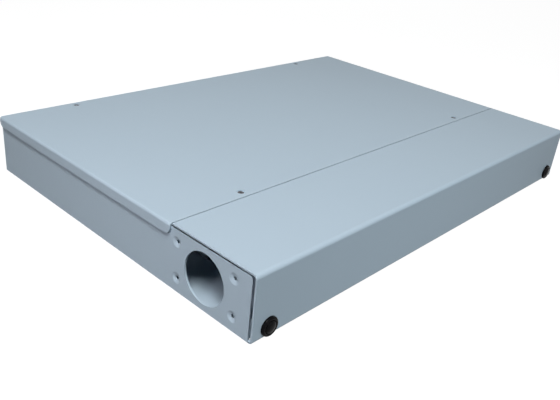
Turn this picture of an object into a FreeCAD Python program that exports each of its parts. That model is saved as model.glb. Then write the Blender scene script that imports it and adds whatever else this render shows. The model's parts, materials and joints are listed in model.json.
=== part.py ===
import FreeCAD, Part
import math
import os
from FreeCAD import Vector

# Fibre optic patch panel: a flat box folded from steel sheet, one rack unit high. The front
# cover hides the patching room, the top cover hides the splicing room, and a panel with the
# optical adapters stands between the two rooms. Millimetres; X runs along the front, Y goes
# from the front to the back, Z is up, and the origin is the centre of the box's underside.

# The box
body_width = 384.4
body_depth = 275.0
body_height = 44.0
sheet = 1.2
clear = 0.3
cover_gap = 0.5
thread_clear = 0.05

# Small round pieces and their holes have flat sides, this many for each kind
screw_sides = 8
nut_sides = 6
ring_sides = 16
guide_sides = 36

# The tray that carries everything, and the two side walls welded to its flanges
tray_bend = 2.0
side_flange_height = 4.0
front_flange_height = 13.0
rear_flange_depth = 14.0
corner_relief = 0.6
wall_corner_radius = 2.0

# The round cable entry in each side wall and the four bracket holes about it
entry_radius = 16.8
entry_from_front = 40.6
entry_height = 21.0
bracket_hole_radius = 1.35
bracket_spacing_y = 48.0
bracket_spacing_z = 24.4
bracket_centre_height = 21.6

# The front cover, its bottom return and its welded hooks
front_cover_depth = 69.2
cover_bend = 2.8
return_depth = 3.4
seam_gap = 0.7
hook_width = 18.0
hook_spacing = 110.0
hook_count = 3
hook_pad = 9.0
hook_step = 2.7
hook_reach = 6.0

# The two push and pull latches at the bottom corners of the front cover
latch_from_end = 12.6
latch_height = 7.0
ring_radius = 6.25
ring_proud = 1.9
ring_edge = 1.3
recess_radius = 4.3
recess_floor = 0.4
shank_radius = 3.5
shank_length = 10.5
leg_slot = 0.8
leg_slot_start = 4.0
plunger_head_radius = 3.9
latch_proud = 2.7
pin_radius = 1.75
pin_length = 12.0

# The top cover and its countersunk screws
lip_depth = 7.8
lip_bend = 2.0
lip_corner_radius = 5.0
screw_from_end = 61.2
screw_behind_seam = 7.0
screw_from_back = 5.0
screw_radius = 1.45
screw_length = 7.0
sunk_head_radius = 2.5
sunk_head_recess = 0.15
cross_wide = 0.7
cross_deep = 0.4
nut_radius = 3.0
nut_height = 2.4

# The adapter panel
panel_from_front = 58.8
panel_top_flange = 23.0
panel_foot = 13.0
panel_from_wall = 38.0
trim_grip = 3.0
trim_wall = 1.0
trim_from_edges = 4.0
floor_screw_head_radius = 2.75
floor_screw_head_height = 1.8
foot_screw_from_end = 11.5
foot_screw_from_middle = 60.0

# The adapters, their spring clips and their dust caps
adapter_count = 12
adapter_from_end = 19.5
adapter_height = 21.0
adapter_wide = 12.8
adapter_high = 9.3
flange_wide = 17.0
flange_thick = 1.6
flange_over = 1.2
front_reach = 10.5
rear_reach = 13.0
port_wide = 9.0
port_high = 7.4
web_thick = 2.0
sleeve_outer_radius = 2.2
sleeve_inner_radius = 1.27
sleeve_reach = 8.0
key_wide = 2.6
key_deep = 0.6
key_long = 7.0
cutout_clear = 0.2
spring_thick = 0.5
spring_long = 6.0
spring_leg = 7.0
barb_out = 1.3
barb_long = 4.0
cap_head_wide = 10.6
cap_head_high = 8.0
cap_head_long = 6.5
cap_plug_long = 5.6
cap_hollow_radius = 2.6
cap_hollow_deep = 3.2
cap_corner = 1.2
cap_groove = 0.6

# The splice tray, its lid and what holds it
tray_length = 160.0
tray_width = 110.0
tray_corner = 30.0
tray_skin = 1.6
tray_wall_height = 9.0
tray_from_front = 170.0
tray_mouth = 14.0
tray_mouth_spacing = 96.0
finger_wide = 8.0
finger_from_middle = 16.0
finger_reach = 6.0
finger_thick = 1.2
hub_radius = 18.0
hub_spacing = 104.0
hub_height = 7.0
hub_gap = 16.0
boss_radius = 5.0
lid_thick = 1.5
lid_hook_wide = 10.0
lid_hook_drop = 5.0
lid_hook_thick = 1.2
comb_long = 40.0
comb_ribs = 7
comb_pitch = 4.2
comb_rib = 1.0
comb_skin = 1.2
comb_height = 6.5
comb_spacing = 52.0
spacer_radius = 5.0
spacer_height = 4.0
spacer_spacing = 110.0
stud_radius = 2.0
stud_top = 24.0
thumb_nut_radius = 7.0
thumb_nut_height = 4.5
thumb_nut_flutes = 10
flute_deep = 0.8

# Fibre clips, bend guides, cable clamps, rear grommets and the earth stud
clip_size = 14.0
clip_corner = 3.0
clip_wall = 1.6
clip_slit = 3.0
clip_long = 10.0
clip_from_centre = 100.0
guide_radius = 35.0
guide_lip = 8.0
guide_skin = 1.6
guide_height = 20.0
guide_from_wall = 3.0
clamp_from_wall = 34.0
clamp_long = 20.0
clamp_high = 22.0
clamp_foot = 12.0
clamp_behind_panel = 18.0
tie_slot_high = 8.0
tie_slot_wide = 3.0
tie_slot_spacing = 10.0
rear_hole_radius = 10.0
rear_hole_from_centre = 110.0
rear_hole_height = 21.0
grommet_lip = 2.5
grommet_proud = 2.0
grommet_membrane = 1.0
grommet_bore_wall = 1.5
earth_from_back = 16.0
earth_stud_radius = 2.5
earth_stud_top = 16.0
earth_nut_across = 8.0
earth_nut_height = 4.0
earth_washer_radius = 5.0
earth_washer_thick = 1.0

# Places that follow from the sizes above
half_width = body_width / 2
front = -(body_depth + grommet_proud - latch_proud) / 2
back = front + body_depth
cover_under = body_height - sheet
wall_top = cover_under - clear
wall_x = half_width - sheet - clear
inner_x = wall_x - sheet
flange_x = inner_x - sheet
side_wall_top = cover_under - cover_gap
wall_front = front + sheet + cover_gap
floor_front = front + return_depth + clear
seam = front + front_cover_depth
panel_y = front + panel_from_front
top_front = seam + seam_gap
latch_x = wall_x - latch_from_end
screw_x = half_width - screw_from_end
panel_x = inner_x - panel_from_wall
nut_base = wall_top - sheet - nut_height
cap_mouth = panel_y - flange_thick - front_reach
adapter_back = panel_y + sheet + rear_reach
adapter_middle = (cap_mouth + adapter_back) / 2
tray_y = front + tray_from_front
tray_base = sheet + spacer_height + clear
tray_top = tray_base + tray_skin + tray_wall_height
lid_base = tray_top + clear
bracket_hole_spots = [
    (front + entry_from_front + side_y * bracket_spacing_y / 2,
     bracket_centre_height + side_z * bracket_spacing_z / 2)
    for side_y in (-1, 1)
    for side_z in (-1, 1)
]
cover_screw_spots = [
    (side * screw_x, place)
    for side in (-1, 1)
    for place in (seam + screw_behind_seam, back - screw_from_back)
]
adapter_pitch = 2 * (panel_x - adapter_from_end) / (adapter_count - 1)
adapter_spots = [(i - (adapter_count - 1) / 2) * adapter_pitch for i in range(adapter_count)]
hook_spots = [(i - (hook_count - 1) / 2) * hook_spacing for i in range(hook_count)]
AXES = {"X": Vector(1, 0, 0), "Y": Vector(0, 1, 0), "Z": Vector(0, 0, 1)}


def box(x0, x1, y0, y1, z0, z1):
    """A block between two corners."""
    return Part.makeBox(x1 - x0, y1 - y0, z1 - z0, Vector(x0, y0, z0))


def rod(radius, x, y, z, axis, length):
    """A round bar that starts at a point and runs along an axis."""
    return Part.makeCylinder(radius, length, Vector(x, y, z), AXES[axis])


def placed(axis, level, pair):
    """A flat point put into space, square to an axis, its two numbers in X, Y, Z order."""
    first, second = pair
    if axis == "X":
        return Vector(level, first, second)
    if axis == "Y":
        return Vector(first, level, second)
    return Vector(first, second, level)


def rounded_wire(spots, radii):
    """A closed outline through the spots, each corner rounded by its own radius."""
    edges = []
    count = len(spots)
    ends = []
    for i, spot in enumerate(spots):
        radius = radii[i]
        if radius <= 0:
            ends.append((spot, spot, None))
            continue
        before = (spots[i - 1] - spot).normalize()
        after = (spots[(i + 1) % count] - spot).normalize()
        half = before.getAngle(after) / 2
        middle = (before + after).normalize()
        run = radius / math.tan(half)
        crown = spot + middle * (radius / math.sin(half) - radius)
        ends.append((spot + before * run, spot + after * run, crown))
    for i, (start, finish, crown) in enumerate(ends):
        if crown is not None:
            edges.append(Part.Arc(start, crown, finish).toShape())
        following = ends[(i + 1) % count][0]
        if (following - finish).Length > 1e-6:
            edges.append(Part.makeLine(finish, following))
    return Part.Wire(edges)


def prism(axis, points, radii, low, high):
    """A flat outline with rounded corners, drawn out along an axis from low to high."""
    spots = [placed(axis, low, pair) for pair in points]
    face = Part.Face(rounded_wire(spots, radii))
    return face.extrude(AXES[axis] * (high - low))


def rectangle(centre_a, centre_b, size_a, size_b):
    """The four corners of a rectangle about its centre."""
    a0, a1 = centre_a - size_a / 2, centre_a + size_a / 2
    b0, b1 = centre_b - size_b / 2, centre_b + size_b / 2
    return [(a0, b0), (a1, b0), (a1, b1), (a0, b1)]


def bent_sheet(axis, path, bend, low, high):
    """A folded sheet: its outer face follows the path and its thickness lies to the left."""
    inside = []
    radii_out, radii_in = [0.0], [0.0]
    last = len(path) - 1
    runs = []
    for (a0, b0), (a1, b1) in zip(path, path[1:]):
        length = math.hypot(a1 - a0, b1 - b0)
        runs.append(((a1 - a0) / length, (b1 - b0) / length))
    for i, (a, b) in enumerate(path):
        near = runs[max(i - 1, 0)]
        far = runs[min(i, last - 1)]
        share = sheet / (1 + near[0] * far[0] + near[1] * far[1])
        inside.append((a - (near[1] + far[1]) * share, b + (near[0] + far[0]) * share))
        if 0 < i < last:
            left_turn = near[0] * far[1] - near[1] * far[0] > 0
            radii_out.append(bend if left_turn else bend - sheet)
            radii_in.append(bend - sheet if left_turn else bend)
    radii_out.append(0.0)
    radii_in.append(0.0)
    return prism(axis, path + inside[::-1], radii_out + radii_in[::-1], low, high)


def polygon(sides, radius, spot, axis):
    """The corners of a regular outline whose sides touch a circle, square to an axis."""
    corner = radius / math.cos(math.pi / sides)
    angles = [2 * math.pi * (i + 0.5) / sides for i in range(sides)]
    pairs = [(corner * math.cos(t), corner * math.sin(t)) for t in angles]
    return [spot + placed(axis, 0, pair) for pair in pairs]


def flat_face(corners):
    """A flat face between corners given in order."""
    return Part.Face(Part.makePolygon(corners + corners[:1]))


def bar(sides, radius, x, y, z, axis, length):
    """A straight bar with flat sides that touch a circle of the given radius."""
    return flat_face(polygon(sides, radius, Vector(x, y, z), axis)).extrude(AXES[axis] * length)


def tapered(sides, steps, x, y, z, axis):
    """A bar whose radius changes along it: each step is a level along the axis and a radius."""
    start = Vector(x, y, z)
    rings = [polygon(sides, radius, start + AXES[axis] * level, axis) for level, radius in steps]
    faces = [flat_face(rings[0]), flat_face(rings[-1])]
    for near, far in zip(rings, rings[1:]):
        for i in range(sides):
            after = (i + 1) % sides
            faces.append(flat_face([near[i], near[after], far[after], far[i]]))
    return Part.Solid(Part.Shell(faces))


def cut_corners(centre_a, centre_b, size_a, size_b, corner):
    """The eight corners of a rectangle whose corners are cut off at 45 degrees."""
    a, b = size_a / 2, size_b / 2
    near_a, near_b = a - corner, b - corner
    quarter = [(near_a, b), (-near_a, b), (-a, near_b), (-a, -near_b),
               (-near_a, -b), (near_a, -b), (a, -near_b), (a, near_b)]
    return [(centre_a + first, centre_b + second) for first, second in quarter]


def fused(shapes):
    """One clean solid from pieces that meet."""
    whole = shapes[0].multiFuse(shapes[1:]) if len(shapes) > 1 else shapes[0]
    return whole.removeSplitter()


def rounded_edges(shape, radius, wanted):
    """The shape with a radius on each edge whose middle passes the test."""
    chosen = [edge for edge in shape.Edges if wanted(edge)]
    return shape.makeFillet(radius, chosen)


def save(name, shape):
    """One STEP file for each named piece."""
    shape.exportStep("parts/" + name + ".step")


def make_base_tray():
    """The floor with flanges for the side walls, a low front flange and the rear wall."""
    fold = tray_bend + sheet
    trough = [(-inner_x, side_flange_height), (-inner_x, 0), (inner_x, 0),
              (inner_x, side_flange_height)]
    floor = bent_sheet("Y", trough, tray_bend, floor_front + fold, back - fold)
    reach = flange_x - corner_relief
    front_path = [
        (floor_front, front_flange_height),
        (floor_front, 0),
        (floor_front + fold, 0),
    ]
    front_flange = bent_sheet("X", front_path, tray_bend, -reach, reach)
    rear_path = [
        (back - fold, 0),
        (back, 0),
        (back, wall_top),
        (back - rear_flange_depth, wall_top),
    ]
    rear_wall = bent_sheet("X", rear_path, tray_bend, -reach, reach)
    body = fused([floor, front_flange, rear_wall])
    cuts = []
    for side in (-1, 1):
        cuts.append(bar(ring_sides, rear_hole_radius, side * rear_hole_from_centre, back - fold,
                        rear_hole_height, "Y", 2 * fold))
        cuts.append(bar(ring_sides, shank_radius + clear, side * latch_x, floor_front - sheet,
                        latch_height, "Y", 3 * sheet))
    for x, y in cover_screw_spots:
        cuts.append(screw_hole(x, y, wall_top))
    for x, y in floor_screw_spots():
        cuts.append(screw_hole(x, y, sheet))
    return body.cut(cuts)


def screw_hole(x, y, top):
    """A hole for one screw down through a sheet whose upper face is at the given height."""
    return bar(screw_sides, screw_radius + thread_clear, x, y, top - 2 * sheet, "Z", 3 * sheet)


def make_side_wall(side):
    """A flat side wall with the round cable entry and four bracket holes about it."""
    low, high = sorted((side * inner_x, side * wall_x))
    wall_foot = sheet + cover_gap
    outline = [(floor_front, 0), (back, 0), (back, side_wall_top), (wall_front, side_wall_top),
               (wall_front, wall_foot), (floor_front, wall_foot)]
    corner = wall_corner_radius
    wall = prism("X", outline, [0, 0, 0, corner, corner, 0], low, high)
    start = low - sheet
    cuts = [rod(entry_radius, start, front + entry_from_front, entry_height, "X", 3 * sheet)]
    for y, z in bracket_hole_spots:
        cuts.append(rod(bracket_hole_radius, start, y, z, "X", 3 * sheet))
    return wall.cut(cuts)


def floor_screw_spots():
    """Where screws hold the adapter panel's foot and the two cable clamps to the floor."""
    outer = panel_x - foot_screw_from_end
    across = (-outer, -foot_screw_from_middle, foot_screw_from_middle, outer)
    foot = [(x, panel_y + (panel_foot + tray_bend) / 2) for x in across]
    return foot + [(side * clamp_screw_x(), clamp_middle()) for side in (-1, 1)]


def make_adapter_panel():
    """The folded panel between the two rooms, which leaves a way for cables at both ends."""
    path = [
        (panel_y + panel_top_flange, wall_top),
        (panel_y, wall_top),
        (panel_y, sheet),
        (panel_y + panel_foot, sheet),
    ]
    panel = bent_sheet("X", path, tray_bend, -panel_x, panel_x)
    low, high = panel_y - sheet, panel_y + 2 * sheet
    cuts = []
    for x in adapter_spots:
        cut = rectangle(x, adapter_height, adapter_wide + cutout_clear,
                        adapter_high + cutout_clear)
        cuts.append(prism("Y", cut, [0] * 4, low, high))
    hook_top = cover_under - hook_step
    for x in hook_spots:
        half = hook_width / 2 + 2 * clear
        cuts.append(box(x - half, x + half, low, high, hook_top - sheet - clear,
                        hook_top + clear))
    for x, y in cover_screw_spots:
        cuts.append(screw_hole(x, y, wall_top))
    for x, y in floor_screw_spots():
        cuts.append(screw_hole(x, y, 2 * sheet))
    return panel.cut(cuts)


def make_panel_trim(side):
    """A rubber edge strip pressed on one upright end of the adapter panel."""
    inner, outer = sorted((side * (panel_x - trim_grip), side * (panel_x + trim_wall)))
    low, high = sheet + tray_bend + trim_from_edges, wall_top - tray_bend - trim_from_edges
    strip = box(inner, outer, panel_y - trim_wall, panel_y + sheet + trim_wall, low, high)
    near, far = sorted((side * (panel_x - trim_grip), side * panel_x))
    return strip.cut(box(near, far, panel_y, panel_y + sheet, low, high))


def make_floor_screws():
    """Pan head screws through the panel's foot and the clamp feet into the floor."""
    screws = []
    for x, y in floor_screw_spots():
        seat = 2 * sheet
        steps = [(0, floor_screw_head_radius), (floor_screw_head_height / 2, floor_screw_head_radius),
                 (floor_screw_head_height, floor_screw_head_radius / 2)]
        head = tapered(screw_sides, steps, x, y, seat, "Z")
        shank = bar(screw_sides, screw_radius, x, y, clear, "Z", seat - clear)
        screws.append(fused([head, shank]))
    return Part.makeCompound(screws)


def make_top_cover():
    """The splicing room's lid: a flat sheet with a lip folded down outside each side wall."""
    path = [
        (half_width, body_height - lip_depth),
        (half_width, body_height),
        (-half_width, body_height),
        (-half_width, body_height - lip_depth),
    ]
    cover = bent_sheet("Y", path, lip_bend, top_front, back)
    lip_foot = body_height - lip_depth

    def lip_corner(edge):
        box_ = edge.BoundBox
        return box_.ZMax < lip_foot + 0.01 and box_.YLength < 0.01

    cover = rounded_edges(cover, lip_corner_radius, lip_corner)
    for x, y in cover_screw_spots:
        cover = cover.cut(sunk_hole(x, y))
    return cover


def sunk_hole(x, y):
    """The countersunk hole for one cover screw, a little wider than the screw."""
    radius = screw_radius + thread_clear
    wide = sunk_head_radius + sunk_head_recess + thread_clear
    drill = bar(screw_sides, radius, x, y, cover_under - sheet, "Z", 3 * sheet)
    deep = wide - radius
    sink = tapered(screw_sides, [(-deep, radius), (0, wide)], x, y, body_height, "Z")
    return drill.fuse(sink)


def make_top_cover_screws():
    """Four flat head screws that hold the top cover."""
    screws = []
    top = body_height - sunk_head_recess
    deep = sunk_head_radius - screw_radius
    arm, half = sunk_head_radius / 2, cross_wide / 2
    for x, y in cover_screw_spots:
        steps = [(-deep, screw_radius), (0, sunk_head_radius)]
        head = tapered(screw_sides, steps, x, y, top, "Z")
        shank = bar(screw_sides, screw_radius, x, y, top - screw_length, "Z", screw_length - deep)
        low = top - cross_deep
        cross = box(x - arm, x + arm, y - half, y + half, low, top)
        cross = cross.fuse(box(x - half, x + half, y - arm, y + arm, low, top))
        screws.append(fused([head, shank]).cut(cross))
    return Part.makeCompound(screws)


def make_cover_nuts():
    """Four clinch nuts under the flanges, for the top cover's screws."""
    nuts = []
    for x, y in cover_screw_spots:
        nut = bar(screw_sides, nut_radius, x, y, nut_base, "Z", nut_height)
        hole = bar(screw_sides, screw_radius + thread_clear, x, y, nut_base, "Z", nut_height)
        nuts.append(nut.cut(hole))
    return Part.makeCompound(nuts)


def make_front_cover():
    """The patching room's cover: top strip, front face and a narrow return under it."""
    path = [(seam, body_height), (front, body_height), (front, 0), (front + return_depth, 0)]
    cover = bent_sheet("X", path, cover_bend, -wall_x, wall_x)
    for side in (-1, 1):
        cover = cover.cut(bar(ring_sides, shank_radius + thread_clear, side * latch_x,
                              front - sheet, latch_height, "Y", 3 * sheet))
    return cover


def make_front_cover_hooks():
    """Stepped tabs welded under the front cover, which slip through slots in the panel."""
    hooks = []
    low = cover_under - hook_step
    step = panel_y - 2 * sheet - tray_bend
    path = [
        (step - hook_pad, cover_under - sheet),
        (step, cover_under - sheet),
        (step + hook_step - sheet, low - sheet),
        (panel_y + sheet + hook_reach, low - sheet),
    ]
    for x in hook_spots:
        hooks.append(bent_sheet("X", path, tray_bend, x - hook_width / 2, x + hook_width / 2))
    return Part.makeCompound(hooks)


def make_latch_grommet(side):
    """The latch's sleeve: a domed ring in front, and split legs through cover and flange."""
    x = side * latch_x
    ring = [
        (-ring_proud, ring_radius - ring_edge),
        (-ring_proud + ring_edge * (1 - math.sin(math.radians(45))),
         ring_radius - ring_edge * (1 - math.cos(math.radians(45)))),
        (ring_edge - ring_proud, ring_radius),
        (0, ring_radius),
    ]
    shank = [(0, shank_radius), (shank_length - leg_slot, shank_radius),
             (shank_length, shank_radius - leg_slot)]
    grommet = fused([tapered(ring_sides, ring, x, front, latch_height, "Y"),
                     tapered(ring_sides, shank, x, front, latch_height, "Y")])
    recess = bar(ring_sides, recess_radius, x, front - ring_proud, latch_height, "Y",
                 ring_proud - recess_floor)
    bore = bar(ring_sides, pin_radius + thread_clear, x, front - ring_proud, latch_height, "Y",
               ring_proud + shank_length)
    start, finish = front + leg_slot_start, front + shank_length
    half = leg_slot / 2
    reach = 2 * shank_radius
    upright = box(x - half, x + half, start, finish, latch_height - reach, latch_height + reach)
    level = box(x - reach, x + reach, start, finish, latch_height - half, latch_height + half)
    return grommet.cut([recess, bore, upright, level])


def make_latch_plunger(side):
    """The latch's pin, with a domed button head that is pulled to free the cover."""
    x = side * latch_x
    base = recess_floor + clear
    rise = latch_proud - base
    rim = rise / 2
    dome = [
        (-base - rim - (rise - rim) * math.sin(math.radians(a)),
         plunger_head_radius * math.cos(math.radians(a)))
        for a in (65, 45, 20, 0)
    ]
    dome = [(-latch_proud, dome[0][1] / 2)] + dome
    head = tapered(ring_sides, dome + [(-base, plunger_head_radius)], x, front, latch_height, "Y")
    tip = pin_radius / 2
    steps = [(-base, pin_radius), (pin_length - tip, pin_radius), (pin_length, tip)]
    pin = tapered(ring_sides, steps, x, front, latch_height, "Y")
    return fused([head, pin])


def make_adapter(x):
    """A square optical adapter: a port at each end and the ferrule sleeve between them."""
    z = adapter_height
    low, high = z - adapter_high / 2, z + adapter_high / 2
    half = adapter_wide / 2
    body = box(x - half, x + half, cap_mouth, adapter_back, low, high)
    half_flange = flange_wide / 2
    body = body.fuse(box(x - half_flange, x + half_flange, panel_y - flange_thick, panel_y,
                         low - flange_over, high + flange_over))
    middle = adapter_middle
    half_web = web_thick / 2
    port_x, port_z = port_wide / 2, port_high / 2
    cuts = []
    for start, finish in ((cap_mouth, middle - half_web), (middle + half_web, adapter_back)):
        cuts.append(box(x - port_x, x + port_x, start, finish, z - port_z, z + port_z))
    for start in (cap_mouth, adapter_back - key_long):
        cuts.append(box(x - key_wide / 2, x + key_wide / 2, start, start + key_long,
                        z, z + port_z + key_deep))
    body = body.cut(cuts)
    sleeve = bar(screw_sides, sleeve_outer_radius, x, middle - sleeve_reach, z, "Y",
                 2 * sleeve_reach)
    bore = bar(screw_sides, sleeve_inner_radius, x, middle - sleeve_reach, z, "Y",
               2 * sleeve_reach)
    return body.fuse(sleeve).cut(bore).removeSplitter()


def make_adapter_clips():
    """A spring saddle on each adapter, whose two barbs bear on the back of the panel."""
    clips = []
    start = panel_y + sheet + thread_clear
    finish = start + spring_long
    top = adapter_height + adapter_high / 2 + thread_clear
    foot = top - spring_leg
    half = adapter_wide / 2 + thread_clear
    outer = half + spring_thick
    for x in adapter_spots:
        saddle = box(x - outer, x + outer, start, finish, foot, top + spring_thick)
        saddle = saddle.cut(box(x - half, x + half, start, finish, foot, top))
        pieces = [saddle]
        for side in (-1, 1):
            root = x + side * outer
            barb = [(root, start), (root + side * barb_out, start), (root, start + barb_long)]
            pieces.append(prism("Z", barb, [0] * 3, foot, top))
        clips.append(fused(pieces))
    return Part.makeCompound(clips)


def make_dust_cap(x):
    """A soft cap: a plug that fits the front port, and a waisted head to pull it by."""
    z = adapter_height
    head_end = cap_mouth - clear
    front_end = head_end - cap_head_long
    outline = cut_corners(x, z, cap_head_wide, cap_head_high, cap_corner)
    head = prism("Y", outline, [0] * 8, front_end, head_end)
    waist_low, waist_high = front_end + cap_head_long / 3, head_end - cap_corner
    cuts = []
    for side in (-1, 1):
        inner, outer = sorted((z + side * (cap_head_high / 2 - cap_groove),
                               z + side * cap_head_high))
        cuts.append(box(x - cap_head_wide, x + cap_head_wide, waist_low, waist_high,
                        inner, outer))
    plug_x, plug_z = port_wide / 2 - clear, port_high / 2 - clear
    plug_end = cap_mouth + cap_plug_long
    plug = box(x - plug_x, x + plug_x, head_end, plug_end, z - plug_z, z + plug_z)
    hollow = bar(screw_sides, cap_hollow_radius, x, plug_end - cap_hollow_deep, z, "Y",
                 cap_hollow_deep)
    return head.cut(cuts).fuse(plug).cut(hollow).removeSplitter()


def make_splice_tray():
    """The moulded tray: skin, rim with four mouths, fibre fingers, two hubs and a boss."""
    outline = rectangle(0, tray_y, tray_length, tray_width)
    hollow = rectangle(0, tray_y, tray_length - 2 * tray_skin, tray_width - 2 * tray_skin)
    floor = tray_base + tray_skin
    corner = tray_corner
    tray = prism("Z", outline, [corner] * 4, tray_base, tray_top)
    tray = tray.cut(prism("Z", hollow, [corner - tray_skin] * 4, floor, tray_top))
    for side_x in (-1, 1):
        for side_y in (-1, 1):
            x = side_x * tray_mouth_spacing / 2
            y = tray_y + side_y * tray_width / 2
            tray = tray.cut(box(x - tray_mouth / 2, x + tray_mouth / 2, y - 2 * tray_skin,
                                y + 2 * tray_skin, floor, tray_top))
    pieces = [tray]
    for x, y, wide, deep in finger_spots():
        pieces.append(box(x - wide / 2, x + wide / 2, y - deep / 2, y + deep / 2,
                          tray_top - finger_thick, tray_top))
    hub_foot = floor - tray_skin / 2
    for side in (-1, 1):
        x = side * hub_spacing / 2
        ring = bar(guide_sides, hub_radius, x, tray_y, hub_foot, "Z", hub_height)
        ring = ring.cut(bar(guide_sides, hub_radius - tray_skin, x, tray_y, hub_foot, "Z",
                            hub_height))
        inner = x - side * (hub_radius + tray_skin)
        ring = ring.cut(box(min(x, inner), max(x, inner), tray_y - hub_gap / 2,
                            tray_y + hub_gap / 2, hub_foot, hub_foot + hub_height))
        pieces.append(ring)
    tall = tray_top - tray_base
    pieces.append(bar(screw_sides, boss_radius, 0, tray_y, tray_base, "Z", tall))
    tray = fused(pieces)
    return tray.cut(bar(screw_sides, stud_radius + clear, 0, tray_y, tray_base, "Z", tall))


def finger_spots():
    """Centre and size of each finger that keeps the fibres under the tray's rim."""
    spots = []
    reach = finger_reach + tray_skin
    for side in (-1, 1):
        y = tray_y + side * (tray_width - reach) / 2
        spots.append((0, y, finger_wide, reach))
        x = side * (tray_length - reach) / 2
        for offset in (-finger_from_middle, finger_from_middle):
            spots.append((x, tray_y + offset, reach, finger_wide))
    return spots


def make_splice_comb(side):
    """Ribs that grip the splice protectors, on a small plate stuck to the tray's skin."""
    y = tray_y + side * comb_spacing / 2
    span = (comb_ribs - 1) * comb_pitch + comb_rib
    base = tray_base + tray_skin
    pieces = [box(-comb_long / 2, comb_long / 2, y - span / 2, y + span / 2, base,
                  base + comb_skin)]
    for i in range(comb_ribs):
        low = y - span / 2 + i * comb_pitch
        pieces.append(box(-comb_long / 2, comb_long / 2, low, low + comb_rib, base,
                          base + comb_height))
    return fused(pieces)


def make_splice_tray_lid():
    """A clear flat lid with four short hooks that hang outside the tray's rim."""
    lid = prism("Z", rectangle(0, tray_y, tray_length, tray_width), [tray_corner] * 4,
                lid_base, lid_base + lid_thick)
    pieces = [lid]
    for side in (-1, 1):
        y = tray_y + side * (tray_width / 2 + clear + lid_hook_thick / 2)
        pieces.append(box(-lid_hook_wide / 2, lid_hook_wide / 2, y - lid_hook_thick / 2,
                          y + lid_hook_thick / 2, lid_base - lid_hook_drop, lid_base + lid_thick))
        inner = min(y, y - side * (lid_hook_thick + clear))
        outer = max(y, y - side * (lid_hook_thick + clear))
        pieces.append(box(-lid_hook_wide / 2, lid_hook_wide / 2, inner, outer, lid_base,
                          lid_base + lid_thick))
        x = side * (tray_length / 2 + clear + lid_hook_thick / 2)
        pieces.append(box(x - lid_hook_thick / 2, x + lid_hook_thick / 2,
                          tray_y - lid_hook_wide / 2, tray_y + lid_hook_wide / 2,
                          lid_base - lid_hook_drop, lid_base + lid_thick))
        inner = min(x, x - side * (lid_hook_thick + clear))
        outer = max(x, x - side * (lid_hook_thick + clear))
        pieces.append(box(inner, outer, tray_y - lid_hook_wide / 2, tray_y + lid_hook_wide / 2,
                          lid_base, lid_base + lid_thick))
    lid = fused(pieces)
    return lid.cut(bar(screw_sides, stud_radius + clear, 0, tray_y, lid_base, "Z", lid_thick))


def threaded_stud(radius, y, top):
    """A stud welded to the floor on the middle line, with a chamfered end."""
    end = radius / 3
    steps = [(0, radius), (top - sheet - end, radius), (top - sheet, radius - end)]
    return tapered(screw_sides, steps, 0, y, sheet, "Z")


def make_tray_stud():
    """The stud on which the tray and its lid are held."""
    return threaded_stud(stud_radius, tray_y, stud_top)


def make_tray_thumb_nut():
    """The fluted nut that holds the lid down."""
    base = lid_base + lid_thick
    outline = []
    for i in range(2 * thumb_nut_flutes):
        radius = thumb_nut_radius - (i % 2) * flute_deep
        angle = math.pi * i / thumb_nut_flutes
        outline.append((radius * math.cos(angle), tray_y + radius * math.sin(angle)))
    nut = prism("Z", outline, [0] * len(outline), base, base + thumb_nut_height)
    return nut.cut(bar(screw_sides, stud_radius + thread_clear, 0, tray_y, base, "Z",
                       thumb_nut_height))


def make_tray_spacers():
    """Three round spacers that carry the tray above the floor."""
    spacers = [
        bar(screw_sides, spacer_radius, side * spacer_spacing / 2, tray_y, sheet, "Z",
            spacer_height)
        for side in (-1, 0, 1)
    ]
    spacers[1] = spacers[1].cut(bar(screw_sides, stud_radius + thread_clear, 0, tray_y, sheet,
                                    "Z", spacer_height))
    return Part.makeCompound(spacers)


def make_fibre_clip(side):
    """An open saddle on the floor beside the tray, which keeps the fibres together."""
    x = side * clip_from_centre
    low, high = tray_y - clip_long / 2, tray_y + clip_long / 2
    height = sheet + clip_size / 2
    flat = [0] * 8
    clip = prism("Y", cut_corners(x, height, clip_size, clip_size, clip_corner), flat, low, high)
    hollow = clip_size - 2 * clip_wall
    clip = clip.cut(prism("Y", cut_corners(x, height, hollow, hollow, clip_corner - clip_wall),
                          flat, low, high))
    return clip.cut(box(x - clip_slit / 2, x + clip_slit / 2, low, high, height,
                        height + clip_size))


def make_bend_guide(side):
    """A quarter round fence in each rear corner, which keeps the fibre's bend wide."""
    x = side * (inner_x - guide_from_wall - guide_radius)
    y = back - sheet - guide_from_wall - guide_radius
    fence = bar(guide_sides, guide_radius, x, y, sheet, "Z", guide_height)
    wall_in, lip_in = guide_radius - guide_skin, guide_radius - guide_lip
    channel = bar(guide_sides, wall_in, x, y, sheet + guide_skin, "Z",
                  guide_height - 2 * guide_skin)
    middle = bar(guide_sides, lip_in, x, y, sheet, "Z", guide_height)
    reach = 2 * guide_radius
    near, far = sorted((x, x + side * reach))
    quarter = box(near, far, y, y + reach, sheet, sheet + guide_height)
    return fence.cut([channel, middle]).common(quarter)


def clamp_plate_x():
    """How far each cable clamp's upright stands from the middle of the box."""
    return inner_x - clamp_from_wall


def clamp_screw_x():
    """The middle of each clamp's foot, where its screw goes."""
    return clamp_plate_x() - (clamp_foot + tray_bend) / 2


def clamp_middle():
    """How far back the cable clamps stand."""
    return panel_y + clamp_behind_panel + clamp_long / 2


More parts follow.
